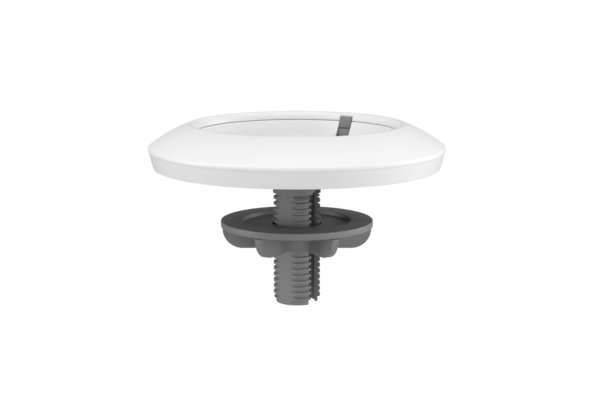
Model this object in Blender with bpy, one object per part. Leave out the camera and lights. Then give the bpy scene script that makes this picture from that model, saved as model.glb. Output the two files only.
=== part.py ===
"""Through-mount for a round table microphone or sensor puck: a low white dish on a slotted, threaded
stem, held to a table top from below by a keyed clamp washer and a six-wing nut.

The row frame: the origin is on the stem's axis at the table's top surface, +Z is up and +Y points
to the cable notch in the dish's cup. Lengths below are in millimetres and angles in degrees; lengths
are scaled to metres once, where each mesh is finished.
"""

import math

import bmesh
import bpy
from mathutils import Matrix

MM = 0.001
GAP = 0.3  # clearance left between pieces that touch on the real object

# Dish, measured from the table's surface.
DISH_R = 72.0  # widest radius, at the rim's nose
RIM_FOOT_R = 69.5
RIM_FOOT_Z = 0.1
NOSE_LOW_Z = 8.5
NOSE_TOP_Z = 9.8
DOME_PULL = (62.85, 17.3)  # the control point of the dome's curve from the nose to the crest
CREST_R = 52.1
CREST_Z = 21.1
LIP_R = 48.9  # inner edge of the bezel, where the cup starts
LIP_Z = 17.8
SHELL = 2.1  # wall of the moulded shells

# Cup that the puck sits in.
CUP_TOP_Z = LIP_Z - 0.6 - GAP
CUP_FLANGE_R = 52.0
CUP_FLOOR_R = 42.6
FLOOR_TOP_Z = 7.8
FLOOR_T = 1.5
FLOOR_HOLE_R = 12.6

# Cable notch at +Y and the guide that closes it behind.
NOTCH_W = 7.4
NOTCH_BACK_Y = 50.0
NOTCH_FLOOR_Y = 37.0
GUIDE_BACK_Y = NOTCH_BACK_Y - GAP
GUIDE_TOP_Z = 19.4
GUIDE_GROOVE_Z = 13.4

# Base plate.
PLATE_R = 66.0
PLATE_LOW_Z = 1.0
PLATE_TOP_Z = 3.6
PLATE_HOLE_R = 12.0
RIB_IN_R = 36.9
RIB_OUT_R = 38.9

# Threaded stem. The ridges rise anticlockwise, a right-hand thread. Two opposite flats, strips without
# thread, stand beside the cable slot.
PITCH = 2.94
RIDGE_Z = 0.75  # where one ridge would cross the +X direction
THREAD_R = 11.4
ROOT_R = 10.15
RIDGE_HALF_ROOT = 0.88
RIDGE_HALF_CREST = 0.6
THREAD_TOP_Z = -13.2
THREAD_LOW_Z = -65.6
THREAD_FADE = 1.2
STEM_END_Z = -67.3
NECK_R = 11.65
NECK_LOW_Z = -12.8
BORE_R = 8.6
FLANGE_R = 21.0
FLANGE_LOW_Z = PLATE_TOP_Z + GAP
FLANGE_TOP_Z = FLANGE_LOW_Z + 2.1
SLOT_W = 8.4  # the slot faces +X
SLOT_TOP_Z = -10.4
FLAT_TURN = -94.0  # one flat's direction, from +X; the other is opposite
FLAT_R = 9.6

# Clamp washer.
WASHER_R = 37.15
WASHER_TOP_Z = -26.2
WASHER_T = 3.35
WASHER_DISH_R = 26.3
WASHER_DISH = 1.9
WASHER_BORE_R = 12.1

# Wing nut.
NUT_TOP_Z = WASHER_TOP_Z - WASHER_T - GAP
NUT_LOW_Z = -40.3
HUB_LOW_Z = -39.7
HUB_R = 15.0
WING_R = 36.4
WING_T = 3.6
WING_CORNER = 9.8
WINGS = 6
WING_TURN = 31.0  # the first wing's direction, from +X, with the nut at rest
THREAD_PLAY = 0.3
RIDGE_PLAY = 0.2

# Screws.
BEZEL_SCREWS = 6
BEZEL_SCREW_R = 59.5
LINER_SCREWS = 3
LINER_SCREW_R = 30.0
STEM_SCREWS = 4
STEM_SCREW_R = 16.6
BOSS_R = 3.4
SHANK_R = 1.3
PAN_HEAD_R = 2.6
PAN_HEAD_H = 1.2
SCREW_SLOT_W = 0.8

TURNED_STEPS = 48
THREAD_STEPS = 24

COLOURS = {  # name: (linear base colour, roughness, metallic)
    "white_plastic": ((0.86, 0.86, 0.86), 0.42, 0.0),
    "grey_plastic": ((0.19, 0.19, 0.19), 0.5, 0.0),
    "grey_rubber": ((0.09, 0.09, 0.09), 0.8, 0.0),
    "black_foam": ((0.03, 0.03, 0.03), 0.95, 0.0),
    "zinc_steel": ((0.6, 0.6, 0.58), 0.35, 1.0),
}


def clear_scene():
    """Removes whatever the file opened with."""
    for item in list(bpy.data.objects):
        bpy.data.objects.remove(item, do_unlink=True)


def material(name):
    """The named material, made once."""
    if name in bpy.data.materials:
        return bpy.data.materials[name]
    made = bpy.data.materials.new(name)
    made.use_nodes = True
    colour, roughness, metallic = COLOURS[name]
    shader = made.node_tree.nodes["Principled BSDF"]
    shader.inputs["Base Color"].default_value = (*colour, 1.0)
    shader.inputs["Roughness"].default_value = roughness
    shader.inputs["Metallic"].default_value = metallic
    return made


def finish(name, bm, finish_name=None):
    """Turns a bmesh in millimetres into an object; with no finish it is a hidden tool for Booleans."""
    bmesh.ops.remove_doubles(bm, verts=bm.verts, dist=1e-4)
    bmesh.ops.recalc_face_normals(bm, faces=bm.faces)
    bmesh.ops.scale(bm, vec=(MM, MM, MM), verts=bm.verts)
    mesh = bpy.data.meshes.new(name)
    bm.to_mesh(mesh)
    bm.free()
    made = bpy.data.objects.new(name, mesh)
    bpy.context.scene.collection.objects.link(made)
    if finish_name is None:
        made.hide_render = True
        made.display_type = "WIRE"
    else:
        mesh.shade_smooth()
        mesh.set_sharp_from_angle(angle=math.radians(35))
        mesh.materials.append(material(finish_name))
    return made


def boolean(target, tool, operation):
    """Adds a Boolean modifier that cuts or joins the tool."""
    modifier = target.modifiers.new(f"{operation.lower()}_{tool.name}", "BOOLEAN")
    modifier.operation = operation
    modifier.object = tool
    modifier.solver = "EXACT"


def cut(target, *tools):
    """Cuts each tool out of the target."""
    for tool in tools:
        boolean(target, tool, "DIFFERENCE")


def curve(start, control, end, steps):
    """Points after start on the quadratic curve that leaves towards control and arrives at end."""
    points = []
    for step in range(1, steps + 1):
        t = step / steps
        points.append(
            tuple((1 - t) ** 2 * a + 2 * t * (1 - t) * b + t * t * c for a, b, c in zip(start, control, end))
        )
    return points


def spin_outline(bm, outline, steps=TURNED_STEPS):
    """Turns an outline of (radius, height) points about Z; one that ends on the axis is left open there."""
    verts = [bm.verts.new((r, 0, z)) for r, z in outline]
    edges = [bm.edges.new(pair) for pair in zip(verts, verts[1:])]
    if outline[0][0] > 0:
        edges.append(bm.edges.new((verts[-1], verts[0])))
    bmesh.ops.spin(
        bm, geom=verts + edges, cent=(0, 0, 0), axis=(0, 0, 1), angle=math.tau, steps=steps, use_merge=True
    )


def turned(name, outline, finish_name=None, steps=TURNED_STEPS):
    """An object turned from one outline."""
    bm = bmesh.new()
    spin_outline(bm, outline, steps)
    return finish(name, bm, finish_name)


def add_block(bm, low, high):
    """Adds a box between two corners."""
    made = bmesh.ops.create_cube(bm, size=1.0)["verts"]
    size = [b - a for a, b in zip(low, high)]
    centre = [(a + b) / 2 for a, b in zip(low, high)]
    bmesh.ops.scale(bm, vec=size, verts=made)
    bmesh.ops.translate(bm, vec=centre, verts=made)
    return made


def block(name, low, high):
    """A hidden box for cutting."""
    bm = bmesh.new()
    add_block(bm, low, high)
    return finish(name, bm)


def around(count, radius, first_deg=0.0):
    """(x, y) places evenly spaced on a circle."""
    for index in range(count):
        angle = math.radians(first_deg) + math.tau * index / count
        yield radius * math.cos(angle), radius * math.sin(angle)


def add_post(bm, place, radius, low, high, steps=16):
    """Adds an upright cylinder, turned half a step so that no corner lies on another outline's ray."""
    matrix = Matrix.Translation((*place, (low + high) / 2)) @ Matrix.Rotation(math.pi / steps, 4, "Z")
    bmesh.ops.create_cone(
        bm, cap_ends=True, segments=steps, radius1=radius, radius2=radius, depth=high - low, matrix=matrix
    )


def turn(bm, verts, degrees):
    """Turns some of a bmesh's vertices about Z."""
    matrix = Matrix.Rotation(math.radians(degrees), 3, "Z")
    bmesh.ops.rotate(bm, cent=(0, 0, 0), matrix=matrix, verts=verts)


def posts(name, places, radius, low, high):
    """Hidden cylinders at several places, for cutting or joining."""
    bm = bmesh.new()
    for place in places:
        add_post(bm, place, radius, low, high)
    return finish(name, bm)


def bezel_places():
    """Where the bezel's screws stand, clear of the notch."""
    return list(around(BEZEL_SCREWS, BEZEL_SCREW_R, 0.0))


def liner_places():
    """Where the liner's screws stand."""
    return list(around(LINER_SCREWS, LINER_SCREW_R, -90.0))


def stem_places():
    """Where the stem's screws stand, clear of the cable's way."""
    return list(around(STEM_SCREWS, STEM_SCREW_R, 45.0))


def bezel_ring():
    """The white cosmetic shell: rim band and nose, dome, rounded crest and the inner lip over the cup."""
    crest = (CREST_R, CREST_Z)
    pull_r, pull_z = DOME_PULL
    outline = [
        (RIM_FOOT_R, RIM_FOOT_Z),
        (DISH_R - 0.4, NOSE_LOW_Z - 0.6),
        (DISH_R, NOSE_LOW_Z),
        (DISH_R, NOSE_TOP_Z),
        (DISH_R - 0.5, NOSE_TOP_Z + 0.6),
    ]
    outline += curve(outline[-1], DOME_PULL, crest, 7)
    outline += curve(crest, (CREST_R - 2.2, CREST_Z), (LIP_R, LIP_Z), 4)
    inner_crest = (CREST_R + 0.6, CREST_Z - SHELL)
    outline += [(LIP_R, LIP_Z - 0.6), (LIP_R + 3.6, LIP_Z - 0.6), inner_crest]
    outline += curve(inner_crest, (pull_r - 1.4, pull_z - 1.7), (DISH_R - 2.4, NOSE_TOP_Z - 0.8), 5)
    outline.append((RIM_FOOT_R - SHELL, RIM_FOOT_Z))
    ring = turned("bezel_ring", outline, "white_plastic")
    roof_z = 15.2
    boolean(ring, posts("bezel_bosses", bezel_places(), BOSS_R, PLATE_TOP_Z + GAP, roof_z), "UNION")
    cut(
        ring,
        posts("bezel_pilots", bezel_places(), SHANK_R + GAP, PLATE_TOP_Z - 1, 11.0),
        block("bezel_notch", (-NOTCH_W / 2, 30, RIM_FOOT_Z), (NOTCH_W / 2, NOTCH_BACK_Y, CREST_Z + 2)),
    )
    return ring


def cup_liner():
    """The white cup: tapered wall, floor with a centre hole, and a flange tucked under the bezel's lip."""
    wall_foot = (CUP_FLOOR_R + 1.5, FLOOR_TOP_Z + 1.6)
    outline = [(LIP_R - GAP, CUP_TOP_Z), wall_foot]
    outline += curve(wall_foot, (CUP_FLOOR_R + 1.1, FLOOR_TOP_Z), (CUP_FLOOR_R - 1.0, FLOOR_TOP_Z), 3)
    outline += [
        (FLOOR_HOLE_R, FLOOR_TOP_Z),
        (FLOOR_HOLE_R, FLOOR_TOP_Z - FLOOR_T),
        (CUP_FLOOR_R - 0.2, FLOOR_TOP_Z - FLOOR_T),
        (CUP_FLOOR_R + 3.0, FLOOR_TOP_Z + 1.0),
        (LIP_R + 1.1, CUP_TOP_Z - 1.5),
        (CUP_FLANGE_R, CUP_TOP_Z - 1.5),
        (CUP_FLANGE_R, CUP_TOP_Z),
    ]
    cup = turned("cup_liner", outline, "white_plastic")
    boss_low = PLATE_TOP_Z + GAP
    boolean(cup, posts("liner_bosses", liner_places(), BOSS_R, boss_low, FLOOR_TOP_Z - 0.7), "UNION")
    cut(
        cup,
        posts("liner_pilots", liner_places(), SHANK_R + GAP, PLATE_TOP_Z - 1, FLOOR_TOP_Z - 1.0),
        block("liner_notch", (-NOTCH_W / 2, NOTCH_FLOOR_Y, 0), (NOTCH_W / 2, CUP_FLANGE_R + 5, CREST_Z)),
    )
    return cup


def cable_guide():
    """The grey upright behind the notch, its face sloped like the cup's wall and grooved across."""
    side = [
        (GUIDE_BACK_Y, PLATE_TOP_Z + GAP),
        (GUIDE_BACK_Y, GUIDE_TOP_Z),
        (GUIDE_BACK_Y - 0.7, GUIDE_TOP_Z),
        (48.4, CUP_TOP_Z + 0.6),
        (47.5, GUIDE_GROOVE_Z + 0.45),
        (48.0, GUIDE_GROOVE_Z + 0.3),
        (48.0, GUIDE_GROOVE_Z - 0.3),
        (47.4, GUIDE_GROOVE_Z - 0.45),
        (45.8, FLOOR_TOP_Z),
        (45.8, PLATE_TOP_Z + GAP),
    ]
    half = NOTCH_W / 2 - GAP
    bm = bmesh.new()
    outline = bm.faces.new([bm.verts.new((-half, y, z)) for y, z in side])
    pushed = bmesh.ops.extrude_face_region(bm, geom=[outline])["geom"]
    bmesh.ops.translate(bm, vec=(2 * half, 0, 0), verts=[v for v in pushed if isinstance(v, bmesh.types.BMVert)])
    return finish("cable_guide", bm, "grey_plastic")


def base_plate():
    """The grey structural disc that the stem, cup and bezel screw to."""
    outline = [
        (PLATE_HOLE_R, PLATE_LOW_Z),
        (PLATE_R, PLATE_LOW_Z),
        (PLATE_R, PLATE_TOP_Z),
        (RIB_OUT_R, PLATE_TOP_Z),
        (RIB_OUT_R, FLOOR_TOP_Z - FLOOR_T - GAP),
        (RIB_IN_R, FLOOR_TOP_Z - FLOOR_T - GAP),
        (RIB_IN_R, PLATE_TOP_Z),
        (PLATE_HOLE_R, PLATE_TOP_Z),
    ]
    plate = turned("base_plate", outline, "grey_plastic")
    under = PLATE_LOW_Z - 1
    over = PLATE_TOP_Z + 1
    screwed_up = bezel_places() + liner_places()
    way_half = NOTCH_W / 2
    cut(
        plate,
        posts("plate_holes", screwed_up, SHANK_R + GAP, PLATE_LOW_Z + 1.0, over),
        posts("plate_counterbores", screwed_up, PAN_HEAD_R + 0.4, under, PLATE_LOW_Z + PAN_HEAD_H + GAP),
        posts("plate_pilots", stem_places(), SHANK_R + GAP, PLATE_LOW_Z + 0.6, over),
        block("rib_gap", (-way_half, 30, PLATE_TOP_Z + 0.05), (way_half, 45, FLOOR_TOP_Z)),
    )
    return plate


def add_thread(bm, root, crest, half_root, half_crest, low, high, fade):
    """Adds a threaded rod's skin between two heights; its ridges rise from nothing over fade at each end."""
    first = math.floor(low / PITCH) - 3
    last = math.ceil(high / PITCH) + 1
    profile = []
    for turn in range(first, last + 1):
        z = RIDGE_Z + turn * PITCH
        profile += [(root, z - half_root), (crest, z - half_crest), (crest, z + half_crest), (root, z + half_root)]
    verts = [bm.verts.new((r, 0, z)) for r, z in profile]
    edges = [bm.edges.new(pair) for pair in zip(verts, verts[1:])]
    bmesh.ops.spin(
        bm,
        geom=verts + edges,
        cent=(0, 0, 0),
        axis=(0, 0, 1),
        dvec=(0, 0, PITCH / THREAD_STEPS),
        angle=math.tau,
        steps=THREAD_STEPS,
    )
    bmesh.ops.remove_doubles(bm, verts=bm.verts, dist=1e-3)
    if fade:
        for vert in bm.verts:
            share = min((vert.co.z - low) / fade, (high - vert.co.z) / fade, 1.0)
            radius = math.hypot(vert.co.x, vert.co.y)
            wanted = root + (radius - root) * max(share, 0.0)
            vert.co.x *= wanted / radius
            vert.co.y *= wanted / radius
    for height, upward in ((high, 1), (low, -1)):
        bmesh.ops.bisect_plane(
            bm,
            geom=bm.verts[:] + bm.edges[:] + bm.faces[:],
            dist=1e-4,
            plane_co=(0, 0, height),
            plane_no=(0, 0, upward),
            clear_outer=True,
        )


def open_loop(bm, height):
    """The boundary edges that lie at one height."""
    return [e for e in bm.edges if e.is_boundary and all(abs(v.co.z - height) < 0.01 for v in e.verts)]


def step_loop(bm, edges, radius, height):
    """Extrudes a round boundary loop to a new radius and height, and returns the new loop."""
    made = bmesh.ops.extrude_edge_only(bm, edges=edges)["geom"]
    for vert in (v for v in made if isinstance(v, bmesh.types.BMVert)):
        scale = radius / math.hypot(vert.co.x, vert.co.y)
        vert.co = (vert.co.x * scale, vert.co.y * scale, height)
    return [e for e in made if isinstance(e, bmesh.types.BMEdge)]


def flats(name, distance, span):
    """A hidden cutter: what lies beyond two opposite flat planes at a distance from the axis."""
    low, high = span
    bm = bmesh.new()
    for angle in (FLAT_TURN, FLAT_TURN + 180):
        turn(bm, add_block(bm, (distance, -15, low), (distance + 10, 15, high)), angle)
    return finish(name, bm)


def cable_slot():
    """The slot's hidden cutter: open at the stem's end, with an arched top."""
    half = SLOT_W / 2
    foot = SLOT_TOP_Z - half
    outline = [(-half, STEM_END_Z - 1), (half, STEM_END_Z - 1), (half, foot)]
    outline += curve((half, foot), (half, SLOT_TOP_Z), (0, SLOT_TOP_Z), 4)
    outline += curve((0, SLOT_TOP_Z), (-half, SLOT_TOP_Z), (-half, foot), 4)
    bm = bmesh.new()
    face = bm.faces.new([bm.verts.new((0, y, z)) for y, z in outline])
    pushed = bmesh.ops.extrude_face_region(bm, geom=[face])["geom"]
    bmesh.ops.translate(bm, vec=(FLANGE_R, 0, 0), verts=[v for v in pushed if isinstance(v, bmesh.types.BMVert)])
    return finish("stem_slot", bm)


def stem():
    """The hollow threaded stem with its screw flange, cable slot and two flats."""
    bm = bmesh.new()
    add_thread(bm, ROOT_R, THREAD_R, RIDGE_HALF_ROOT, RIDGE_HALF_CREST, THREAD_LOW_Z, THREAD_TOP_Z, THREAD_FADE)
    loop = open_loop(bm, THREAD_LOW_Z)
    for radius, height in ((ROOT_R, STEM_END_Z + 0.6), (ROOT_R - 0.5, STEM_END_Z)):
        loop = step_loop(bm, loop, radius, height)
    bmesh.ops.edgeloop_fill(bm, edges=loop)
    loop = open_loop(bm, THREAD_TOP_Z)
    shoulder = [
        (NECK_R, NECK_LOW_Z),
        (NECK_R, FLANGE_LOW_Z),
        (FLANGE_R, FLANGE_LOW_Z),
        (FLANGE_R, FLANGE_TOP_Z),
    ]
    for radius, height in shoulder:
        loop = step_loop(bm, loop, radius, height)
    bmesh.ops.edgeloop_fill(bm, edges=loop)
    made = finish("stem", bm, "grey_plastic")
    reach = FLANGE_R + 5
    bore = bmesh.new()
    add_post(bore, (0, 0), BORE_R, STEM_END_Z - 1, FLANGE_TOP_Z + 1, steps=48)
    countersinks = bmesh.new()
    for place in stem_places():
        add_post(countersinks, place, SHANK_R + GAP, FLANGE_LOW_Z - 1, FLANGE_TOP_Z + 1)
        matrix = Matrix.Translation((*place, FLANGE_TOP_Z - 0.4))
        bmesh.ops.create_cone(
            countersinks, cap_ends=True, segments=16, radius1=SHANK_R + 0.1, radius2=3.5, depth=2.0, matrix=matrix
        )
    cut(
        made,
        flats("stem_flats", FLAT_R, (STEM_END_Z - 1, PLATE_LOW_Z - 1.6)),
        finish("stem_bore", bore),
        cable_slot(),
        block("flange_gap", (-NOTCH_W / 2, 0, FLANGE_LOW_Z + 0.05), (NOTCH_W / 2, reach, FLANGE_TOP_Z + 1)),
    )
    modifier = made.modifiers.new("difference_countersinks", "BOOLEAN")
    modifier.operation = "DIFFERENCE"
    modifier.object = finish("flange_countersinks", countersinks)
    modifier.solver = "EXACT"
    modifier.use_self = True
    return made


def ring(name, inner, outer, low, high, finish_name):
    """A flat ring with square edges."""
    return turned(name, [(inner, low), (outer, low), (outer, high), (inner, high)], finish_name)


def clamp_washer():
    """The dished washer; two flats in its bore slide on the stem's flats, so it can't turn."""
    low = WASHER_TOP_Z - WASHER_T
    dish_z = WASHER_TOP_Z - WASHER_DISH
    outline = [
        (FLAT_R - 1, low),
        (WASHER_R - 0.5, low),
        (WASHER_R, low + 0.5),
        (WASHER_R, WASHER_TOP_Z - 0.3),
        (WASHER_R - 0.3, WASHER_TOP_Z),
        (WASHER_DISH_R, WASHER_TOP_Z),
        (WASHER_DISH_R, dish_z),
        (FLAT_R - 1, dish_z),
    ]
    washer = turned("clamp_washer", outline, "grey_plastic")
    bm = bmesh.new()
    add_post(bm, (0, 0), WASHER_BORE_R, low - 1, WASHER_TOP_Z + 1, steps=48)
    bore = finish("washer_bore", bm)
    cut(bore, flats("washer_flats", FLAT_R + GAP, (low - 2, WASHER_TOP_Z + 2)))
    cut(washer, bore)
    return washer


def wing_nut():
    """The hub with its six radial wings and the internal thread."""
    outline = [
        (ROOT_R - 1.5, NUT_TOP_Z),
        (HUB_R, NUT_TOP_Z),
        (HUB_R, HUB_LOW_Z + 0.6),
        (HUB_R - 0.6, HUB_LOW_Z),
        (ROOT_R - 1.5, HUB_LOW_Z),
    ]
    nut = turned("wing_nut", outline, "grey_plastic")
    corner = (WING_R, NUT_LOW_Z + WING_CORNER)
    wing_side = [(HUB_R - 1.6, NUT_TOP_Z), (WING_R, NUT_TOP_Z), corner]
    for step in range(1, 7):
        angle = math.radians(90 * step / 6)
        wing_side.append((
            WING_R - WING_CORNER + WING_CORNER * math.cos(angle),
            NUT_LOW_Z + WING_CORNER - WING_CORNER * math.sin(angle),
        ))
    wing_side.append((HUB_R - 1.6, NUT_LOW_Z))
    wings = bmesh.new()
    for index in range(WINGS):
        corners = [wings.verts.new((r, -WING_T / 2, z)) for r, z in wing_side]
        face = wings.faces.new(corners)
        pushed = bmesh.ops.extrude_face_region(wings, geom=[face])["geom"]
        lifted = [v for v in pushed if isinstance(v, bmesh.types.BMVert)]
        bmesh.ops.translate(wings, vec=(0, WING_T, 0), verts=lifted)
        turn(wings, corners + lifted, WING_TURN + 360 * index / WINGS)
    boolean(nut, finish("wings", wings), "UNION")
    thread = bmesh.new()
    add_thread(
        thread,
        ROOT_R + THREAD_PLAY,
        THREAD_R + THREAD_PLAY,
        RIDGE_HALF_ROOT + RIDGE_PLAY,
        RIDGE_HALF_CREST + RIDGE_PLAY,
        NUT_LOW_Z - 2,
        NUT_TOP_Z + 2,
        0,
    )
    for height in (NUT_LOW_Z - 2, NUT_TOP_Z + 2):
        bmesh.ops.edgeloop_fill(thread, edges=open_loop(thread, height))
    cut(nut, finish("nut_thread", thread))
    return nut


def pan_screw(name, place, head_z, length):
    """A slotted pan-head screw driven upwards, its head's underside at head_z."""
    bm = bmesh.new()
    outline = [
        (0, head_z - PAN_HEAD_H),
        (PAN_HEAD_R - 0.5, head_z - PAN_HEAD_H),
        (PAN_HEAD_R, head_z - PAN_HEAD_H + 0.5),
        (PAN_HEAD_R, head_z),
        (SHANK_R, head_z),
        (SHANK_R, head_z + length - 0.8),
        (0, head_z + length),
    ]
    spin_outline(bm, outline, steps=16)
    bmesh.ops.translate(bm, vec=(*place, 0), verts=bm.verts)
    screw = finish(name, bm, "zinc_steel")
    x, y = place
    low = head_z - PAN_HEAD_H
    reach = PAN_HEAD_R + 1
    cut(
        screw,
        block(
            f"{name}_slot",
            (x - reach, y - SCREW_SLOT_W / 2, low - 1),
            (x + reach, y + SCREW_SLOT_W / 2, low + 0.6),
        ),
    )
    return screw


def countersunk_screw(name, place, top_z, length):
    """A slotted countersunk screw driven downwards, its head's top at top_z."""
    bm = bmesh.new()
    head_r = 2.5
    outline = [
        (0, top_z - length),
        (SHANK_R, top_z - length + 0.8),
        (SHANK_R, top_z - 1.2),
        (head_r, top_z),
        (0, top_z),
    ]
    spin_outline(bm, outline, steps=16)
    bmesh.ops.translate(bm, vec=(*place, 0), verts=bm.verts)
    screw = finish(name, bm, "zinc_steel")
    x, y = place
    reach = head_r + 1
    cut(
        screw,
        block(
            f"{name}_slot",
            (x - reach, y - SCREW_SLOT_W / 2, top_z - 0.5),
            (x + reach, y + SCREW_SLOT_W / 2, top_z + 1),
        ),
    )
    return screw


def fasteners():
    """Every screw, each its own piece."""
    head_z = PLATE_LOW_Z + PAN_HEAD_H
    for index, place in enumerate(bezel_places(), 1):
        pan_screw(f"bezel_screw_{index}", place, head_z, 7.5)
    for index, place in enumerate(liner_places(), 1):
        pan_screw(f"liner_screw_{index}", place, head_z, 4.2)
    for index, place in enumerate(stem_places(), 1):
        countersunk_screw(f"stem_screw_{index}", place, FLANGE_TOP_Z - GAP, 3.6)


def main():
    """Builds every piece."""
    clear_scene()
    bezel_ring()
    cup_liner()
    cable_guide()
    base_plate()
    stem()
    ring("foot_pad", 14.5, 65.0, 0.0, PLATE_LOW_Z - GAP, "black_foam")
    ring("seat_pad", 24.0, 35.5, FLOOR_TOP_Z + GAP, FLOOR_TOP_Z + 1.3, "grey_rubber")
    clamp_washer()
    wing_nut()
    fasteners()


main()
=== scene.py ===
"""The through-table puck mount as it looks: white dish and cup, dark grey stem, washer and wing nut.

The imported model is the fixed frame. Each visible moulding is rebuilt here with smooth turned walls,
rounded edges and a rounded thread, and takes the CAD node's place; the screws and the base plate,
which hardly show, keep their CAD shapes and get finished materials. Sizes are in millimetres and are
scaled to metres once, where a piece's mesh is finished.
"""

import logging
import math
from dataclasses import dataclass, field, replace
from enum import Enum
from typing import Iterable, Sequence

import bmesh
import bpy
from bmesh.types import BMEdge, BMesh, BMVert
from mathutils import Matrix, Vector


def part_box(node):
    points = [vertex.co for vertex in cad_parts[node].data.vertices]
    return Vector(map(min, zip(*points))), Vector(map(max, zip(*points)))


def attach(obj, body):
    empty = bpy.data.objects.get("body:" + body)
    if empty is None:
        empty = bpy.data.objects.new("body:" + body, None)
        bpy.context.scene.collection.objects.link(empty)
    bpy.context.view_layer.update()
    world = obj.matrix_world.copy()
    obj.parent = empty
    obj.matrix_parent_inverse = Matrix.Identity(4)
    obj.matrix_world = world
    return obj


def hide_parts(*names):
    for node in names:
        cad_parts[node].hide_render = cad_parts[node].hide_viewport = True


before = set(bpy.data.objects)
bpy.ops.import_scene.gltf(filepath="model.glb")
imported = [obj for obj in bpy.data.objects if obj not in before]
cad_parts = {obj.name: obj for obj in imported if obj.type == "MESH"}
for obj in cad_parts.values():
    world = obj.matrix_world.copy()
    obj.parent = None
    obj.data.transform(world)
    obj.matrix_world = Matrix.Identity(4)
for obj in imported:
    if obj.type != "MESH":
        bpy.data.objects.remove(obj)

LOG = logging.getLogger("puck_mount")
MM = 0.001
GAP = 0.3

Point = tuple[float, float]
Corner = tuple[float, float, float]
Colour = tuple[float, float, float]


class Body(Enum):
    """The bodies that pieces ride on."""

    FIXED = "dish_and_stem"
    WASHER = "washer"
    NUT = "nut"


class Slot(Enum):
    """The record's material slots."""

    WHITE = "white_shell"
    GREY = "grey_moulding"
    RUBBER = "soft_ring"
    FOAM = "foam"
    STEEL = "screw_steel"


class Relief(Enum):
    """The kinds of fine surface relief."""

    POLISHED = "polished"
    SPARKED = "sparked"
    CELLULAR = "cellular"
    BRUSHED = "brushed"


# ---------------------------------------------------------------- finishes


class Plan:
    """Adds and links the nodes of one tree."""

    def __init__(self, tree: bpy.types.NodeTree) -> None:
        """Takes the tree to work on.

        Args:
            tree: a material's, world's or group's node tree.
        """
        self.tree = tree

    def add(self, kind: str, operation: str | None = None, **values: float | tuple) -> bpy.types.Node:
        """Adds a node and sets its inputs by name.

        Args:
            kind: the node's type without its ShaderNode prefix.
            operation: the operation of a Math or Vector Math node.
            values: input names, spaces as underscores, and their constant values.

        Returns:
            The node.
        """
        node = self.tree.nodes.new(f"ShaderNode{kind}")
        if operation is not None:
            node.operation = operation
        for name, value in values.items():
            node.inputs[name.replace("_", " ")].default_value = value
        return node

    def link(self, source: bpy.types.NodeSocket, target: bpy.types.NodeSocket) -> None:
        """Joins an output to an input."""
        self.tree.links.new(source, target)

    def math(self, operation: str, *terms: bpy.types.NodeSocket | float) -> bpy.types.NodeSocket:
        """Adds a Math node.

        Args:
            operation: the node's operation.
            terms: a socket or a number for each input, in order.

        Returns:
            The value's socket.
        """
        node = self.add("Math", operation)
        for target, term in zip(node.inputs, terms):
            if isinstance(term, bpy.types.NodeSocket):
                self.link(term, target)
            else:
                target.default_value = term
        return node.outputs[0]


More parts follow.
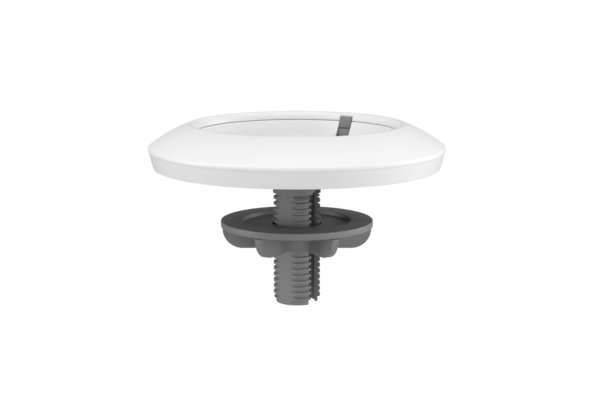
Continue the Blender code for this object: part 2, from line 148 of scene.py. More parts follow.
@dataclass
class NodeGroups:
    """The shader node groups that the finishes share, each built once."""

    made: dict[str, bpy.types.NodeTree] = field(default_factory=dict)

    def _start(
        self, name: str, inputs: dict[str, str], outputs: dict[str, str]
    ) -> tuple[Plan, bpy.types.Node, bpy.types.Node]:
        """Opens a group with its sockets.

        Args:
            name: the group's name.
            inputs: input names and their socket kinds.
            outputs: output names and their socket kinds.

        Returns:
            The plan, the input node and the output node.
        """
        tree = bpy.data.node_groups.new(name, "ShaderNodeTree")
        for direction, sockets in (("INPUT", inputs), ("OUTPUT", outputs)):
            for label, kind in sockets.items():
                tree.interface.new_socket(name=label, in_out=direction, socket_type=f"NodeSocket{kind}")
        self.made[name] = tree
        return Plan(tree), tree.nodes.new("NodeGroupInput"), tree.nodes.new("NodeGroupOutput")

    def tone(self) -> bpy.types.NodeTree:
        """Flow marks in the colour and handling marks in the gloss.

        Returns:
            A group with inputs Color, Roughness, Mottle and Handling, and outputs Color and Roughness.
        """
        name = "moulded_tone"
        if name in self.made:
            return self.made[name]
        inputs = {"Color": "Color", "Roughness": "Float", "Mottle": "Float", "Handling": "Float"}
        plan, given, result = self._start(name, inputs, {"Color": "Color", "Roughness": "Float"})
        place = plan.add("TexCoord").outputs["Object"]
        flow = plan.add("TexNoise", Scale=38.0, Detail=3.0, Roughness=0.55, Distortion=0.4)
        pigment = plan.add("TexNoise", Scale=1900.0, Detail=2.0)
        smears = plan.add("TexNoise", Scale=85.0, Detail=4.0, Roughness=0.6, Distortion=1.2)
        for texture in (flow, pigment, smears):
            plan.link(place, texture.inputs["Vector"])
        blend = plan.math("MULTIPLY_ADD", flow.outputs["Fac"], 0.6, -0.5)
        blend = plan.math("MULTIPLY_ADD", pigment.outputs["Fac"], 0.4, blend)
        factor = plan.math("MULTIPLY_ADD", blend, given.outputs["Mottle"], 1.0)
        tint = plan.add("VectorMath", "SCALE")
        plan.link(given.outputs["Color"], tint.inputs[0])
        plan.link(factor, tint.inputs["Scale"])
        plan.link(tint.outputs[0], result.inputs["Color"])
        smear = plan.math("SUBTRACT", smears.outputs["Fac"], 0.5)
        gloss = plan.math("MULTIPLY_ADD", smear, given.outputs["Handling"], given.outputs["Roughness"])
        plan.link(gloss, result.inputs["Roughness"])
        return self.made[name]

    def relief(self, kind: Relief) -> bpy.types.NodeTree:
        """Fine surface relief.

        Args:
            kind: which relief.

        Returns:
            A group with the input Frequency, in waves a metre, and the output Height, about 0 to 1.
        """
        name = f"relief_{kind.value}"
        if name in self.made:
            return self.made[name]
        plan, given, result = self._start(name, {"Frequency": "Float"}, {"Height": "Float"})
        place = plan.add("TexCoord").outputs["Object"]
        if kind is Relief.BRUSHED:
            stretch = plan.add("Mapping", Scale=(1.0, 1.0, 14.0))
            plan.link(place, stretch.inputs["Vector"])
            place = stretch.outputs[0]
        fine = plan.add("TexNoise", Detail=2.0 if kind is Relief.POLISHED else 4.0, Roughness=0.6)
        plan.link(place, fine.inputs["Vector"])
        plan.link(given.outputs["Frequency"], fine.inputs["Scale"])
        height = fine.outputs["Fac"]
        if kind in (Relief.SPARKED, Relief.CELLULAR):
            cells = plan.add("TexVoronoi")
            plan.link(place, cells.inputs["Vector"])
            plan.link(given.outputs["Frequency"], cells.inputs["Scale"])
            share = 0.8 if kind is Relief.CELLULAR else 0.45
            height = plan.math("MULTIPLY", height, 1.0 - share)
            height = plan.math("MULTIPLY_ADD", cells.outputs["Distance"], share, height)
        plan.link(height, result.inputs["Height"])
        return self.made[name]


@dataclass(frozen=True)
class Finish:
    """One material and the numbers that tell it from the others."""

    slot: Slot
    colour: Colour
    roughness: float
    relief: Relief
    relief_size: float
    relief_depth: float
    mottle: float = 0.03
    handling: float = 0.05
    metallic: float = 0.0
    coat: float = 0.0
    ior: float = 1.5

    def material(self, groups: NodeGroups) -> bpy.types.Material:
        """Builds the material, once.

        Args:
            groups: where the shared node groups are.

        Returns:
            The material.
        """
        name = f"finish_{self.slot.value}"
        if name in bpy.data.materials:
            return bpy.data.materials[name]
        material = bpy.data.materials.new(name)
        material.use_nodes = True
        plan = Plan(material.node_tree)
        shader = material.node_tree.nodes["Principled BSDF"]
        shader.inputs["Metallic"].default_value = self.metallic
        shader.inputs["IOR"].default_value = self.ior
        shader.inputs["Coat Weight"].default_value = self.coat
        tone = self._group(plan, groups.tone())
        tone.inputs["Color"].default_value = (*self.colour, 1.0)
        tone.inputs["Roughness"].default_value = self.roughness
        tone.inputs["Mottle"].default_value = self.mottle
        tone.inputs["Handling"].default_value = self.handling
        relief = self._group(plan, groups.relief(self.relief))
        relief.inputs["Frequency"].default_value = 1.0 / (self.relief_size * MM)
        bump = plan.add("Bump", Strength=1.0, Distance=self.relief_depth * MM)
        plan.link(relief.outputs["Height"], bump.inputs["Height"])
        plan.link(tone.outputs["Color"], shader.inputs["Base Color"])
        plan.link(tone.outputs["Roughness"], shader.inputs["Roughness"])
        plan.link(bump.outputs["Normal"], shader.inputs["Normal"])
        return material

    @staticmethod
    def _group(plan: Plan, tree: bpy.types.NodeTree) -> bpy.types.Node:
        """Places a group in a material."""
        node = plan.add("Group")
        node.node_tree = tree
        return node


FINISHES = {
    finish.slot: finish
    for finish in (
        Finish(
            Slot.WHITE, (0.84, 0.84, 0.84), roughness=0.38, relief=Relief.POLISHED,
            relief_size=1.4, relief_depth=0.004, mottle=0.015, handling=0.06,
        ),
        Finish(
            Slot.GREY, (0.205, 0.205, 0.207), roughness=0.47, relief=Relief.SPARKED,
            relief_size=0.22, relief_depth=0.012, mottle=0.10, handling=0.10,
        ),
        Finish(
            Slot.RUBBER, (0.05, 0.05, 0.05), roughness=0.72, relief=Relief.SPARKED,
            relief_size=0.3, relief_depth=0.015, mottle=0.12, handling=0.1,
        ),
        Finish(
            Slot.FOAM, (0.022, 0.022, 0.022), roughness=0.95, relief=Relief.CELLULAR,
            relief_size=0.35, relief_depth=0.10, mottle=0.25, handling=0.04,
        ),
        Finish(
            Slot.STEEL, (0.55, 0.55, 0.53), roughness=0.32, relief=Relief.BRUSHED,
            relief_size=0.3, relief_depth=0.006, mottle=0.08, metallic=1.0,
        ),
    )
}


# ---------------------------------------------------------------- mesh work


def curve(start: Point, control: Point, end: Point, steps: int) -> list[Point]:
    """Points after start on a quadratic curve.

    Args:
        start: where it begins.
        control: the point that it leaves towards.
        end: where it ends.
        steps: how many points.

    Returns:
        The points, the last one at end.
    """
    points = []
    for step in range(1, steps + 1):
        t = step / steps
        weights = ((1 - t) ** 2, 2 * t * (1 - t), t * t)
        points.append(
            tuple(sum(w * p[axis] for w, p in zip(weights, (start, control, end))) for axis in (0, 1))
        )
    return points


def rounded(corners: Sequence[Corner], steps: int = 4, closed: bool = True) -> list[Point]:
    """An outline with its corners rounded.

    Args:
        corners: (radius, height, how far back along each side the rounding starts).
        steps: points on each rounding.
        closed: whether the last corner joins the first.

    Returns:
        The outline's points.
    """
    points: list[Point] = []
    for index, (r, z, cut_back) in enumerate(corners):
        here = Vector((r, z))
        inside = closed or 0 < index < len(corners) - 1
        if cut_back <= 0 or not inside:
            points.append((r, z))
            continue
        before = Vector(corners[index - 1][:2])
        after = Vector(corners[(index + 1) % len(corners)][:2])
        start = here + (before - here).normalized() * cut_back
        end = here + (after - here).normalized() * cut_back
        points.append(tuple(start))
        points += curve(tuple(start), (r, z), tuple(end), steps)
    return points


def merge(bm: BMesh) -> None:
    """Merges doubled points and turns the faces outwards."""
    bmesh.ops.remove_doubles(bm, verts=bm.verts, dist=1e-4)
    bmesh.ops.recalc_face_normals(bm, faces=bm.faces)


def spin_outline(bm: BMesh, outline: Sequence[Point], steps: int = 192) -> None:
    """Turns a closed outline about Z.

    Args:
        bm: the mesh to add to.
        outline: (radius, height) points.
        steps: how many steps a turn.
    """
    verts = [bm.verts.new((r, 0, z)) for r, z in outline]
    edges = [bm.edges.new(pair) for pair in zip(verts, verts[1:] + verts[:1])]
    bmesh.ops.spin(
        bm, geom=verts + edges, cent=(0, 0, 0), axis=(0, 0, 1), angle=math.tau, steps=steps, use_merge=True
    )


def turn(bm: BMesh, verts: Iterable[BMVert], degrees: float) -> None:
    """Turns vertices about Z."""
    matrix = Matrix.Rotation(math.radians(degrees), 3, "Z")
    bmesh.ops.rotate(bm, cent=(0, 0, 0), matrix=matrix, verts=list(verts))


def add_block(bm: BMesh, low: Sequence[float], high: Sequence[float]) -> list[BMVert]:
    """Adds a box.

    Args:
        bm: the mesh to add to.
        low: its lowest corner.
        high: its highest corner.

    Returns:
        Its vertices.
    """
    made = bmesh.ops.create_cube(bm, size=1.0)["verts"]
    bmesh.ops.scale(bm, vec=[b - a for a, b in zip(low, high)], verts=made)
    bmesh.ops.translate(bm, vec=[(a + b) / 2 for a, b in zip(low, high)], verts=made)
    return made


def add_post(bm: BMesh, place: Point, radius: float, low: float, high: float, steps: int = 96) -> None:
    """Adds an upright cylinder.

    Args:
        bm: the mesh to add to.
        place: its axis.
        radius: its radius.
        low: its foot.
        high: its top.
        steps: how many sides.
    """
    matrix = Matrix.Translation((*place, (low + high) / 2)) @ Matrix.Rotation(math.pi / steps, 4, "Z")
    bmesh.ops.create_cone(
        bm, cap_ends=True, segments=steps, radius1=radius, radius2=radius, depth=high - low, matrix=matrix
    )


def extrude_outline(
    bm: BMesh, outline: Sequence[Sequence[float]], push: Sequence[float], soften: float = 0.0
) -> list[BMVert]:
    """Extrudes a flat outline into a solid.

    Args:
        bm: the mesh to add to.
        outline: the outline's points in space.
        push: how far and which way to extrude.
        soften: the width of the bevel along its edges.

    Returns:
        The solid's vertices.
    """
    before = set(bm.verts)
    face = bm.faces.new([bm.verts.new(point) for point in outline])
    pushed = bmesh.ops.extrude_face_region(bm, geom=[face])["geom"]
    bmesh.ops.translate(bm, vec=push, verts=[v for v in pushed if isinstance(v, BMVert)])
    made = [v for v in bm.verts if v not in before]
    bmesh.ops.recalc_face_normals(bm, faces=list({f for v in made for f in v.link_faces}))
    if soften > 0:
        new_faces = {f for v in made for f in v.link_faces}
        sharp = [
            e for e in {e for v in made for e in v.link_edges}
            if len(e.link_faces) == 2
            and e.calc_face_angle() > math.radians(40)
            and set(e.link_faces) <= new_faces
        ]
        bmesh.ops.bevel(
            bm, geom=sharp, offset=soften, offset_type="OFFSET", segments=3, profile=0.5, affect="EDGES",
            clamp_overlap=True, material=-1,
        )
        made = [v for v in bm.verts if v not in before]
    return made


@dataclass
class Workshop:
    """Finishes meshes into pieces and hands them to the frame."""

    groups: NodeGroups

    def tool(self, name: str, bm: BMesh) -> bpy.types.Object:
        """Makes a hidden tool for a Boolean.

        Args:
            name: the tool's name.
            bm: its mesh, in millimetres; it is used up.

        Returns:
            The tool.
        """
        merge(bm)
        made = self._object(name, bm)
        made.hide_render = True
        made.display_type = "WIRE"
        return made

    def less(self, tool: bpy.types.Object, other: bpy.types.Object) -> bpy.types.Object:
        """Cuts one tool out of another, and uses it up.

        Args:
            tool: the tool to cut.
            other: the one that is cut away.

        Returns:
            The tool that is left.
        """
        self._boolean(tool, other, "DIFFERENCE")
        self._apply(tool)
        bpy.data.objects.remove(other, do_unlink=True)
        return tool

    def piece(
        self,
        name: str,
        bm: BMesh,
        slot: Slot,
        body: Body,
        replaces: Sequence[str],
        joins: Sequence[bpy.types.Object] = (),
        cuts: Sequence[bpy.types.Object] = (),
        crease: float = 32.0,
    ) -> bpy.types.Object:
        """Finishes a piece: joins and cuts it, shades and dresses it, and lets it ride on its body.

        Args:
            name: the piece's name.
            bm: its mesh, in millimetres; it is used up.
            slot: its material slot.
            body: the body that it moves with.
            replaces: the CAD nodes that it stands for.
            joins: tools to join to it first.
            cuts: tools to cut out of it.
            crease: the angle in degrees above which an edge is shaded sharp.

        Returns:
            The piece.
        """
        merge(bm)
        made = self._object(name, bm)
        for operation, tools in (("UNION", joins), ("DIFFERENCE", cuts)):
            for tool in tools:
                self._boolean(made, tool, operation)
        if made.modifiers:
            self._apply(made)
        for tool in (*joins, *cuts):
            bpy.data.objects.remove(tool, do_unlink=True)
        made.data.shade_smooth()
        made.data.set_sharp_from_angle(angle=math.radians(crease))
        made.data.materials.append(FINISHES[slot].material(self.groups))
        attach(made, body.value)
        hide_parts(*replaces)
        LOG.info("%s: %d faces", name, len(made.data.polygons))
        return made

    def dress(self, node: str, slot: Slot) -> None:
        """Gives a CAD node that keeps its shape a finished material.

        Args:
            node: the node's name.
            slot: its material slot.
        """
        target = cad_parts[node]
        target.data.materials.clear()
        target.data.materials.append(FINISHES[slot].material(self.groups))
        LOG.info("%s dressed", node)

    @staticmethod
    def _object(name: str, bm: BMesh) -> bpy.types.Object:
        """Turns a mesh in millimetres into an object in metres."""
        bmesh.ops.scale(bm, vec=(MM, MM, MM), verts=bm.verts)
        mesh = bpy.data.meshes.new(name)
        bm.to_mesh(mesh)
        bm.free()
        made = bpy.data.objects.new(name, mesh)
        bpy.context.scene.collection.objects.link(made)
        return made

    @staticmethod
    def _boolean(target: bpy.types.Object, tool: bpy.types.Object, operation: str) -> None:
        """Adds a Boolean modifier."""
        modifier = target.modifiers.new(tool.name, "BOOLEAN")
        modifier.operation = operation
        modifier.object = tool
        modifier.solver = "EXACT"

    @staticmethod
    def _apply(target: bpy.types.Object) -> None:
        """Keeps the mesh that the modifiers make."""
        evaluated = target.evaluated_get(bpy.context.evaluated_depsgraph_get())
        mesh = bpy.data.meshes.new_from_object(evaluated)
        target.modifiers.clear()
        target.data = mesh
        mesh.name = target.name


# ---------------------------------------------------------------- the thread


@dataclass(frozen=True)
class Thread:
    """A rounded right-hand thread; one ridge crosses the +X direction at ridge_z."""

    pitch: float = 2.94
    ridge_z: float = 0.75
    root: float = 10.15
    crest: float = 11.4
    half_root: float = 0.88
    half_crest: float = 0.62
    rounding: float = 0.16

    def grown(self, radial: float, axial: float) -> "Thread":
        """The same thread with clearance round it.

        Args:
            radial: how much larger its radii are.
            axial: how much wider each side of its ridges is.

        Returns:
            The larger thread.
        """
        return replace(
            self,
            root=self.root + radial,
            crest=self.crest + radial,
            half_root=self.half_root + axial,
            half_crest=self.half_crest + axial,
        )

    def skin(self, bm: BMesh, low: float, high: float, fade: float, steps: int) -> None:
        """Adds the thread's open skin between two heights.

        Args:
            bm: an empty mesh.
            low: the lower end.
            high: the upper end.
            fade: over how much height the ridges rise from nothing at each end.
            steps: how many steps a turn.
        """
        corners: list[Corner] = []
        valley = min(0.6 * self.rounding, 0.4 * (self.pitch - 2 * self.half_root))
        for index in range(math.floor(low / self.pitch) - 3, math.ceil(high / self.pitch) + 2):
            z = self.ridge_z + index * self.pitch
            corners += [
                (self.root, z - self.half_root, valley),
                (self.crest, z - self.half_crest, self.rounding),
                (self.crest, z + self.half_crest, self.rounding),
                (self.root, z + self.half_root, valley),
            ]
        verts = [bm.verts.new((r, 0, z)) for r, z in rounded(corners, steps=2, closed=False)]
        edges = [bm.edges.new(pair) for pair in zip(verts, verts[1:])]
        bmesh.ops.spin(
            bm,
            geom=verts + edges,
            cent=(0, 0, 0),
            axis=(0, 0, 1),
            dvec=(0, 0, self.pitch / steps),
            angle=math.tau,
            steps=steps,
        )
        bmesh.ops.remove_doubles(bm, verts=bm.verts, dist=1e-3)
        if fade > 0:
            self._fade(bm, low, high, fade)
        for height, upward in ((high, 1), (low, -1)):
            bmesh.ops.bisect_plane(
                bm,
                geom=bm.verts[:] + bm.edges[:] + bm.faces[:],
                dist=1e-4,
                plane_co=(0, 0, height),
                plane_no=(0, 0, upward),
                clear_outer=True,
            )

    def _fade(self, bm: BMesh, low: float, high: float, fade: float) -> None:
        """Lowers the ridges towards both ends."""
        for vert in bm.verts:
            share = min((vert.co.z - low) / fade, (high - vert.co.z) / fade, 1.0)
            radius = math.hypot(vert.co.x, vert.co.y)
            wanted = self.root + (radius - self.root) * max(share, 0.0)
            vert.co.x *= wanted / radius
            vert.co.y *= wanted / radius


def open_loop(bm: BMesh, height: float) -> list[BMEdge]:
    """The boundary edges that lie at one height."""
    return [e for e in bm.edges if e.is_boundary and all(abs(v.co.z - height) < 0.01 for v in e.verts)]


def extend(bm: BMesh, loop: list[BMEdge], outline: Sequence[Point]) -> None:
    """Carries a round boundary loop through radii and heights, and closes it.

    Args:
        bm: the mesh.
        loop: the boundary to start from.
        outline: (radius, height) of each further loop.
    """
    for radius, height in outline:
        made = bmesh.ops.extrude_edge_only(bm, edges=loop)["geom"]
        for vert in (v for v in made if isinstance(v, BMVert)):
            scale = radius / math.hypot(vert.co.x, vert.co.y)
            vert.co = (vert.co.x * scale, vert.co.y * scale, height)
        loop = [e for e in made if isinstance(e, BMEdge)]
    bmesh.ops.edgeloop_fill(bm, edges=loop)


# ---------------------------------------------------------------- the dish


@dataclass
class Dish:
    """The white shell and cup with the grey guide in the notch, and the soft rings above and below."""

    shop: Workshop
    rim_r: float = 72.0
    foot_r: float = 69.5
    foot_z: float = 0.1
    nose_low: float = 8.5
    nose_top: float = 9.8
    dome_pull: Point = (62.85, 17.3)
    crest_r: float = 52.1
    crest_z: float = 21.1
    lip_r: float = 48.9
    lip_z: float = 17.8
    wall: float = 2.1
    floor_r: float = 42.6
    floor_z: float = 7.8
    floor_t: float = 1.5
    hole_r: float = 12.6
    flange_r: float = 52.0
    notch_w: float = 7.4
    notch_back: float = 50.0
    notch_floor: float = 37.0
    groove_z: float = 13.4
    seat_in_r: float = 24.0
    seat_bead: float = 0.45
    foot_in_r: float = 14.5

    def build(self) -> None:
        """Builds and dresses every piece of the dish."""
        self.shell()
        self.cup()
        self.guide()
        self.seat_ring()
        self.foot_ring()
        self.shop.dress("base_plate", Slot.GREY)
        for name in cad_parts:
            if "_screw_" in name:
                self.shop.dress(name, Slot.STEEL)

    def _notch(self, name: str, front: float, back: float, low: float) -> bpy.types.Object:
        """A tool that cuts the notch from the front to the back, upwards from a height."""
        bm = bmesh.new()
        add_block(bm, (-self.notch_w / 2, front, low), (self.notch_w / 2, back, self.crest_z + 3))
        return self.shop.tool(name, bm)

    def shell(self) -> None:
        """The rim band and its rounded nose, the dome, the rounded crest and the inner lip."""
        brow = (self.rim_r - 0.5, self.nose_top + 0.6)
        crest = (self.crest_r, self.crest_z)
        inner_crest = (self.crest_r + 0.6, self.crest_z - self.wall)
        pull_r, pull_z = self.dome_pull
        outline = rounded(
            [
                (self.foot_r - self.wall, self.foot_z, 0.3),
                (self.foot_r, self.foot_z, 0.45),
                (self.rim_r - 0.4, self.nose_low - 0.6, 0.3),
                (self.rim_r, self.nose_low, 0.3),
                (self.rim_r, self.nose_top, 0.35),
                (*brow, 0.0),
            ],
            closed=False,
        )
        outline += curve(brow, self.dome_pull, crest, 28)
        outline += curve(crest, (self.crest_r - 2.2, self.crest_z), (self.lip_r, self.lip_z), 12)
        lip_foot = self.lip_z - 0.6
        outline += [(self.lip_r, lip_foot), (self.lip_r + 3.6, lip_foot), inner_crest]
        inner_brow = (self.rim_r - 2.4, self.nose_top - 0.8)
        outline += curve(inner_crest, (pull_r - 1.4, pull_z - 1.7), inner_brow, 10)
        bm = bmesh.new()
        spin_outline(bm, outline)
        notch = self._notch("shell_notch", self.notch_floor - 7, self.notch_back, self.foot_z)
        self.shop.piece("dish_shell", bm, Slot.WHITE, Body.FIXED, ["bezel_ring"], cuts=[notch])

    def cup(self) -> None:
        """The tapered wall, filleted floor with its hole, and the flange under the shell's lip."""
        top = self.lip_z - 0.9
        outline = rounded(
            [
                (self.lip_r - GAP, top, 0.25),
                (self.floor_r + 1.1, self.floor_z, 2.2),
                (self.hole_r, self.floor_z, 0.5),
                (self.hole_r, self.floor_z - self.floor_t, 0.2),
                (self.floor_r - 0.2, self.floor_z - self.floor_t, 0.0),
                (self.floor_r + 3.0, self.floor_z + 1.0, 1.5),
                (self.lip_r + 1.1, top - 1.5, 0.6),
                (self.flange_r, top - 1.5, 0.3),
                (self.flange_r, top, 0.3),
            ],
            steps=8,
        )
        bm = bmesh.new()
        spin_outline(bm, outline)
        notch = self._notch("cup_notch", self.notch_floor, self.flange_r + 5, 0)
        self.shop.piece("cup", bm, Slot.WHITE, Body.FIXED, ["cup_liner"], cuts=[notch])

    def guide(self) -> None:
        """The upright behind the notch, its face sloped like the wall and grooved across."""
        low, high = (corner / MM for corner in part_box("cable_guide"))
        side = [
            (high.y, low.z),
            (high.y, high.z),
            (high.y - 0.7, high.z),
            (48.4, self.lip_z - 0.3),
            (47.5, self.groove_z + 0.45),
            (48.0, self.groove_z + 0.3),
            (48.0, self.groove_z - 0.3),
            (47.4, self.groove_z - 0.45),
            (45.8, self.floor_z),
            (45.8, low.z),
        ]
        bm = bmesh.new()
        extrude_outline(bm, [(low.x, y, z) for y, z in side], (high.x - low.x, 0, 0), soften=0.12)
        self.shop.piece("notch_guide", bm, Slot.GREY, Body.FIXED, ["cable_guide"])

    def seat_ring(self) -> None:
        """The soft ring on the cup's floor, with two raised beads."""
        low, high = (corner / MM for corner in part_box("seat_pad"))
        inner, outer = self.seat_in_r, high.x
        base = high.z - self.seat_bead
        corners: list[Corner] = [(inner, low.z, 0.15), (outer, low.z, 0.15), (outer, base, 0.25)]
        for bead in (outer - 2.2, inner + 3.4):
            corners += [(bead + 1.1, base, 0.2), (bead + 0.8, high.z, 0.4)]
            corners += [(bead - 0.8, high.z, 0.4), (bead - 1.1, base, 0.2)]
        corners.append((inner, base, 0.25))
        bm = bmesh.new()
        spin_outline(bm, rounded(corners), steps=128)
        self.shop.piece("seat_ring", bm, Slot.RUBBER, Body.FIXED, ["seat_pad"])

    def foot_ring(self) -> None:
        """The foam ring between the dish and the table."""
        low, high = (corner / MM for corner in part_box("foot_pad"))
        inner, outer = self.foot_in_r, high.x
        bm = bmesh.new()
        corners = [(inner, low.z, 0.2), (outer, low.z, 0.2), (outer, high.z, 0.1), (inner, high.z, 0.1)]
        spin_outline(bm, rounded(corners), steps=160)
        self.shop.piece("foot_ring", bm, Slot.FOAM, Body.FIXED, ["foot_pad"])


# ---------------------------------------------------------------- the stem


@dataclass
class Stem:
    """The hollow threaded stem, with its slot and the two flats that the washer is keyed to."""

    shop: Workshop
    thread: Thread = Thread()
    top_z: float = -13.2
    low_z: float = -65.6
    end_z: float = -67.3
    neck_r: float = 11.65
    neck_low: float = -12.8
    bore_r: float = 8.6
    flange_r: float = 21.0
    flange_z: Point = (3.9, 6.0)
    fade: float = 1.2
    thread_steps: int = 96
    slot_w: float = 8.4
    slot_top: float = -10.4
    flat_turn: float = -94.0
    flat_r: float = 9.6
    flat_top: float = -0.6
    gap_w: float = 7.4
    screws: int = 4
    screw_ring: float = 16.6
    screw_hole_r: float = 1.6
    crease: float = 14.0

    def flats(self, name: str, distance: float, span: Point) -> bpy.types.Object:
        """What lies beyond two opposite flat planes, as a tool.

        Args:
            name: the tool's name.
            distance: how far from the axis the planes stand.
            span: their lowest and highest height.

        Returns:
            The tool.
        """
        low, high = span
        reach = 15
        bm = bmesh.new()
        for angle in (self.flat_turn, self.flat_turn + 180):
            turn(bm, add_block(bm, (distance, -reach, low), (distance + 10, reach, high)), angle)
        return self.shop.tool(name, bm)

    def build(self) -> None:
        """Builds and dresses the stem."""
        bm = bmesh.new()
        self.thread.skin(bm, self.low_z, self.top_z, self.fade, self.thread_steps)
        root = self.thread.root
        tip = [(root, self.end_z + 0.6), (root - 0.15, self.end_z + 0.2), (root - 0.5, self.end_z)]
        extend(bm, open_loop(bm, self.low_z), tip)
        foot, head = self.flange_z
        shoulder = [
            (self.neck_r - 0.2, self.neck_low),
            (self.neck_r, self.neck_low + 0.2),
            (self.neck_r, foot),
            (self.flange_r - 0.2, foot),
            (self.flange_r, foot + 0.2),
            (self.flange_r, head - 0.3),
            (self.flange_r - 0.3, head),
        ]
        extend(bm, open_loop(bm, self.top_z), shoulder)
        cuts = [
            self.flats("stem_flats", self.flat_r, (self.end_z - 1, self.flat_top)),
            self._bore(),
            self._slot(),
            self._cable_gap(),
        ]
        cuts += self._countersinks()
        self.shop.piece(
            "threaded_stem", bm, Slot.GREY, Body.FIXED, ["stem"], cuts=cuts, crease=self.crease
        )

    def _bore(self) -> bpy.types.Object:
        """The bore with a small chamfer at each end, as a tool."""
        head = self.flange_z[1]
        outline = [
            (0.0, self.end_z - 1),
            (self.bore_r + 1.5, self.end_z - 1),
            (self.bore_r, self.end_z + 0.5),
            (self.bore_r, head - 0.6),
            (self.bore_r + 1.6, head + 1),
            (0.0, head + 1),
        ]
        bm = bmesh.new()
        spin_outline(bm, outline, steps=96)
        return self.shop.tool("stem_bore", bm)

    def _slot(self) -> bpy.types.Object:
        """The cable slot with its arched upper end, as a tool."""
        half = self.slot_w / 2
        outline = rounded(
            [
                (-half, self.end_z - 1, 0),
                (half, self.end_z - 1, 0),
                (half, self.slot_top, half - 0.01),
                (-half, self.slot_top, half - 0.01),
            ],
            steps=10,
        )
        bm = bmesh.new()
        extrude_outline(bm, [(0, y, z) for y, z in outline], (self.neck_r + 5, 0, 0))
        return self.shop.tool("stem_slot", bm)

    def _cable_gap(self) -> bpy.types.Object:
        """The gap in the flange on the notch's side, as a tool."""
        half = self.gap_w / 2
        foot, head = self.flange_z
        bm = bmesh.new()
        add_block(bm, (-half, 0, foot + 0.05), (half, self.flange_r + 5, head + 1))
        return self.shop.tool("flange_gap", bm)

    def _countersinks(self) -> list[bpy.types.Object]:
        """The four screw holes and their countersinks, as tools."""
        foot, head = self.flange_z
        holes = bmesh.new()
        sinks = bmesh.new()
        for index in range(self.screws):
            angle = math.radians(45 + 360 * index / self.screws)
            place = (self.screw_ring * math.cos(angle), self.screw_ring * math.sin(angle))
            add_post(holes, place, self.screw_hole_r, foot - 1, head + 1, steps=24)
            matrix = Matrix.Translation((*place, head - 0.4))
            bmesh.ops.create_cone(
                sinks, cap_ends=True, segments=24, radius1=1.4, radius2=3.5, depth=2.0, matrix=matrix
            )
        return [self.shop.tool("flange_holes", holes), self.shop.tool("flange_sinks", sinks)]


# ---------------------------------------------------------------- washer and nut


@dataclass
class Clamp:
    """The keyed washer and the wing nut under it."""

    shop: Workshop
    stem: Stem
    washer_bore: float = 12.1
    dish_r: float = 26.3
    dish_depth: float = 1.9
    hub_r: float = 15.0
    wing_r: float = 36.4
    wing_t: float = 3.6
    wing_corner: float = 9.8
    corner_steps: int = 12
    wings: int = 6
    wing_turn: float = 31.0
    ridge_play: float = 0.2

    def build(self) -> None:
        """Builds and dresses both pieces."""
        self.washer()
        self.nut()

    def washer(self) -> None:
        """The disc with its raised rim and dished middle, and two flats in its bore."""
        low, high = (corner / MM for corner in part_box("clamp_washer"))
        radius = high.x
        floor_z = high.z - self.dish_depth
        inner = self.stem.flat_r - 1
        outline = rounded(
            [
                (inner, low.z, 0),
                (radius, low.z, 0.7),
                (radius, high.z, 0.45),
                (self.dish_r, high.z, 0.35),
                (self.dish_r, floor_z, 0.5),
                (inner, floor_z, 0),
            ],
        )
        bm = bmesh.new()
        spin_outline(bm, outline)
        hole = bmesh.new()
        add_post(hole, (0, 0), self.washer_bore, low.z - 1, high.z + 1, steps=96)
        span = (low.z - 2, high.z + 2)
        flats = self.stem.flats("washer_flats", self.stem.flat_r + GAP, span)
        bore = self.shop.less(self.shop.tool("washer_bore", hole), flats)
        self.shop.piece("washer_disc", bm, Slot.GREY, Body.WASHER, ["clamp_washer"], cuts=[bore])

    def nut(self) -> None:
        """The hub, its six wings and the internal thread."""
        low, high = (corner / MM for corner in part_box("wing_nut"))
        top = high.z
        hub_low = low.z + 0.6
        inner = self.stem.thread.root - 1.5
        bm = bmesh.new()
        hub = [(inner, top, 0), (self.hub_r, top, 0.4), (self.hub_r, hub_low, 0.8), (inner, hub_low, 0)]
        spin_outline(bm, rounded(hub), steps=128)
        wings = self._wings(low.z, top)
        thread = bmesh.new()
        self.stem.thread.grown(GAP, self.ridge_play).skin(thread, low.z - 2, top + 2, fade=0, steps=48)
        for height in (low.z - 2, top + 2):
            bmesh.ops.edgeloop_fill(thread, edges=open_loop(thread, height))
        cut = self.shop.tool("nut_thread", thread)
        self.shop.piece(
            "wing_nut_body", bm, Slot.GREY, Body.NUT, ["wing_nut"], joins=[wings], cuts=[cut]
        )

    def _wings(self, low_z: float, top: float) -> bpy.types.Object:
        """The six wings, as a tool to join.

        Args:
            low_z: the wings' lowest height.
            top: their top.

        Returns:
            The tool.
        """
        inner = self.hub_r - 1.6
        corner = self.wing_corner
        centre_r, centre_z = self.wing_r - corner, low_z + corner
        side = [(inner, top), (self.wing_r - 0.4, top), (self.wing_r, top - 0.4)]
        for step in range(self.corner_steps + 1):
            angle = math.pi / 2 * step / self.corner_steps
            side.append((centre_r + corner * math.cos(angle), centre_z - corner * math.sin(angle)))
        side.append((inner, low_z))
        bm = bmesh.new()
        for index in range(self.wings):
            outline = [(r, -self.wing_t / 2, z) for r, z in side]
            made = extrude_outline(bm, outline, (0, self.wing_t, 0), soften=0.45)
            turn(bm, made, self.wing_turn + 360 * index / self.wings)
        return self.shop.tool("wings", bm)


# ---------------------------------------------------------------- studio


@dataclass(frozen=True)
class SoftBox:
    """One soft light."""

    name: str
    azimuth: float
    elevation: float
    distance: float
    size: float
    power: float


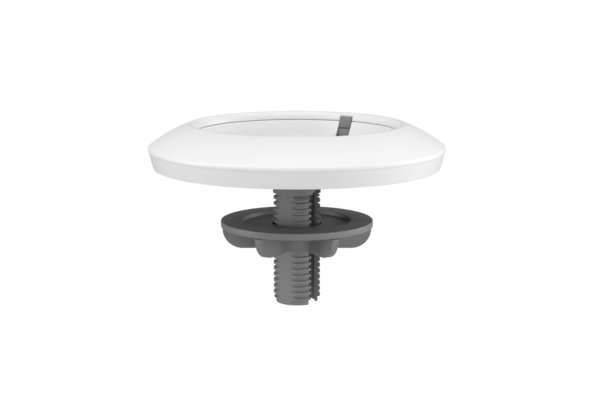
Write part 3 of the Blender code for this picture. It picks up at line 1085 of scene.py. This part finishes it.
@dataclass
class Studio:
    """A pale floor well under the mount, soft light all round and the camera."""

    azimuth: float = 31.0
    pitch: float = 9.95
    distance: float = 0.7
    height: float = 0.1061
    lens: float = 87.3
    shift_x: float = 0.0052
    floor_z: float = -0.45
    floor_half: float = 12.0
    floor_tone: float = 0.5
    boxes: tuple[SoftBox, ...] = (
        SoftBox("low_left", -50.0, 3.0, 1.2, 0.5, 4.8),
        SoftBox("low_front", 42.0, 3.0, 1.2, 0.5, 3.0),
        SoftBox("low_right", 85.0, 4.0, 1.2, 0.5, 3.1),
        SoftBox("left", -40.0, 42.0, 1.2, 0.7, 4.6),
        SoftBox("right", 60.0, 50.0, 1.2, 0.7, 1.4),
        SoftBox("back", 135.0, 9.0, 1.2, 0.7, 7.5),
        SoftBox("top", 60.0, 85.0, 1.4, 1.0, 4.9),
    )

    def build(self) -> None:
        """Sets the whole studio."""
        self._camera()
        self._floor()
        self._world()
        for box in self.boxes:
            self._light(box)
        bpy.context.scene.view_settings.view_transform = "Standard"

    def _camera(self) -> None:
        """The camera, level from side to side and looking down a little."""
        data = bpy.data.cameras.new("camera")
        data.lens = self.lens
        data.shift_x = self.shift_x
        data.clip_start = 0.01
        camera = bpy.data.objects.new("camera", data)
        angle = math.radians(self.azimuth)
        camera.location = (self.distance * math.sin(angle), -self.distance * math.cos(angle), self.height)
        camera.rotation_euler = (math.radians(90 - self.pitch), 0, angle)
        bpy.context.scene.collection.objects.link(camera)
        bpy.context.scene.camera = camera

    def _floor(self) -> None:
        """The floor, which only returns light; the camera sees white in its place."""
        bm = bmesh.new()
        bmesh.ops.create_grid(bm, x_segments=1, y_segments=1, size=self.floor_half)
        bmesh.ops.translate(bm, vec=(0, 0, self.floor_z), verts=bm.verts)
        mesh = bpy.data.meshes.new("floor")
        bm.to_mesh(mesh)
        bm.free()
        floor = bpy.data.objects.new("floor", mesh)
        bpy.context.scene.collection.objects.link(floor)
        material = bpy.data.materials.new("pale_floor")
        material.use_nodes = True
        shader = material.node_tree.nodes["Principled BSDF"]
        shader.inputs["Base Color"].default_value = (*(self.floor_tone,) * 3, 1.0)
        shader.inputs["Roughness"].default_value = 0.9
        mesh.materials.append(material)
        floor.visible_camera = False

    @staticmethod
    def _world() -> None:
        """An even, near-white world that the camera sees as plain white."""
        world = bpy.data.worlds.new("world")
        world.use_nodes = True
        world.node_tree.nodes.clear()
        plan = Plan(world.node_tree)
        lit = plan.add("Background", Color=(1.0, 1.0, 1.0, 1.0), Strength=0.33)
        seen = plan.add("Background", Color=(1.0, 1.0, 1.0, 1.0), Strength=1.0)
        mix = plan.add("MixShader")
        plan.link(plan.add("LightPath").outputs["Is Camera Ray"], mix.inputs[0])
        plan.link(lit.outputs[0], mix.inputs[1])
        plan.link(seen.outputs[0], mix.inputs[2])
        plan.link(mix.outputs[0], plan.add("OutputWorld").inputs["Surface"])
        bpy.context.scene.world = world

    @staticmethod
    def _light(box: SoftBox) -> None:
        """Adds one soft light that faces the mount.

        Args:
            box: the light.
        """
        data = bpy.data.lights.new(box.name, "AREA")
        data.shape = "DISK"
        data.size = box.size
        data.energy = box.power
        light = bpy.data.objects.new(box.name, data)
        around, up = math.radians(box.azimuth), math.radians(box.elevation)
        back = Vector((math.sin(around) * math.cos(up), -math.cos(around) * math.cos(up), math.sin(up)))
        light.location = back * box.distance
        light.rotation_euler = back.to_track_quat("Z", "Y").to_euler()
        bpy.context.scene.collection.objects.link(light)


def corners(bounds: Sequence[Sequence[float]]) -> list[list[float]]:
    """The box as plain lists of numbers."""
    return [[float(value) for value in corner] for corner in bounds]


def main() -> None:
    """Builds the studio and every piece."""
    logging.basicConfig(level=logging.INFO, format="%(message)s")
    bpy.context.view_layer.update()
    Studio().build()
    shop = Workshop(NodeGroups())
    Dish(shop).build()
    stem = Stem(shop)
    stem.build()
    Clamp(shop, stem).build()
    bpy.context.view_layer.update()


if __name__ == "__main__":
    main()
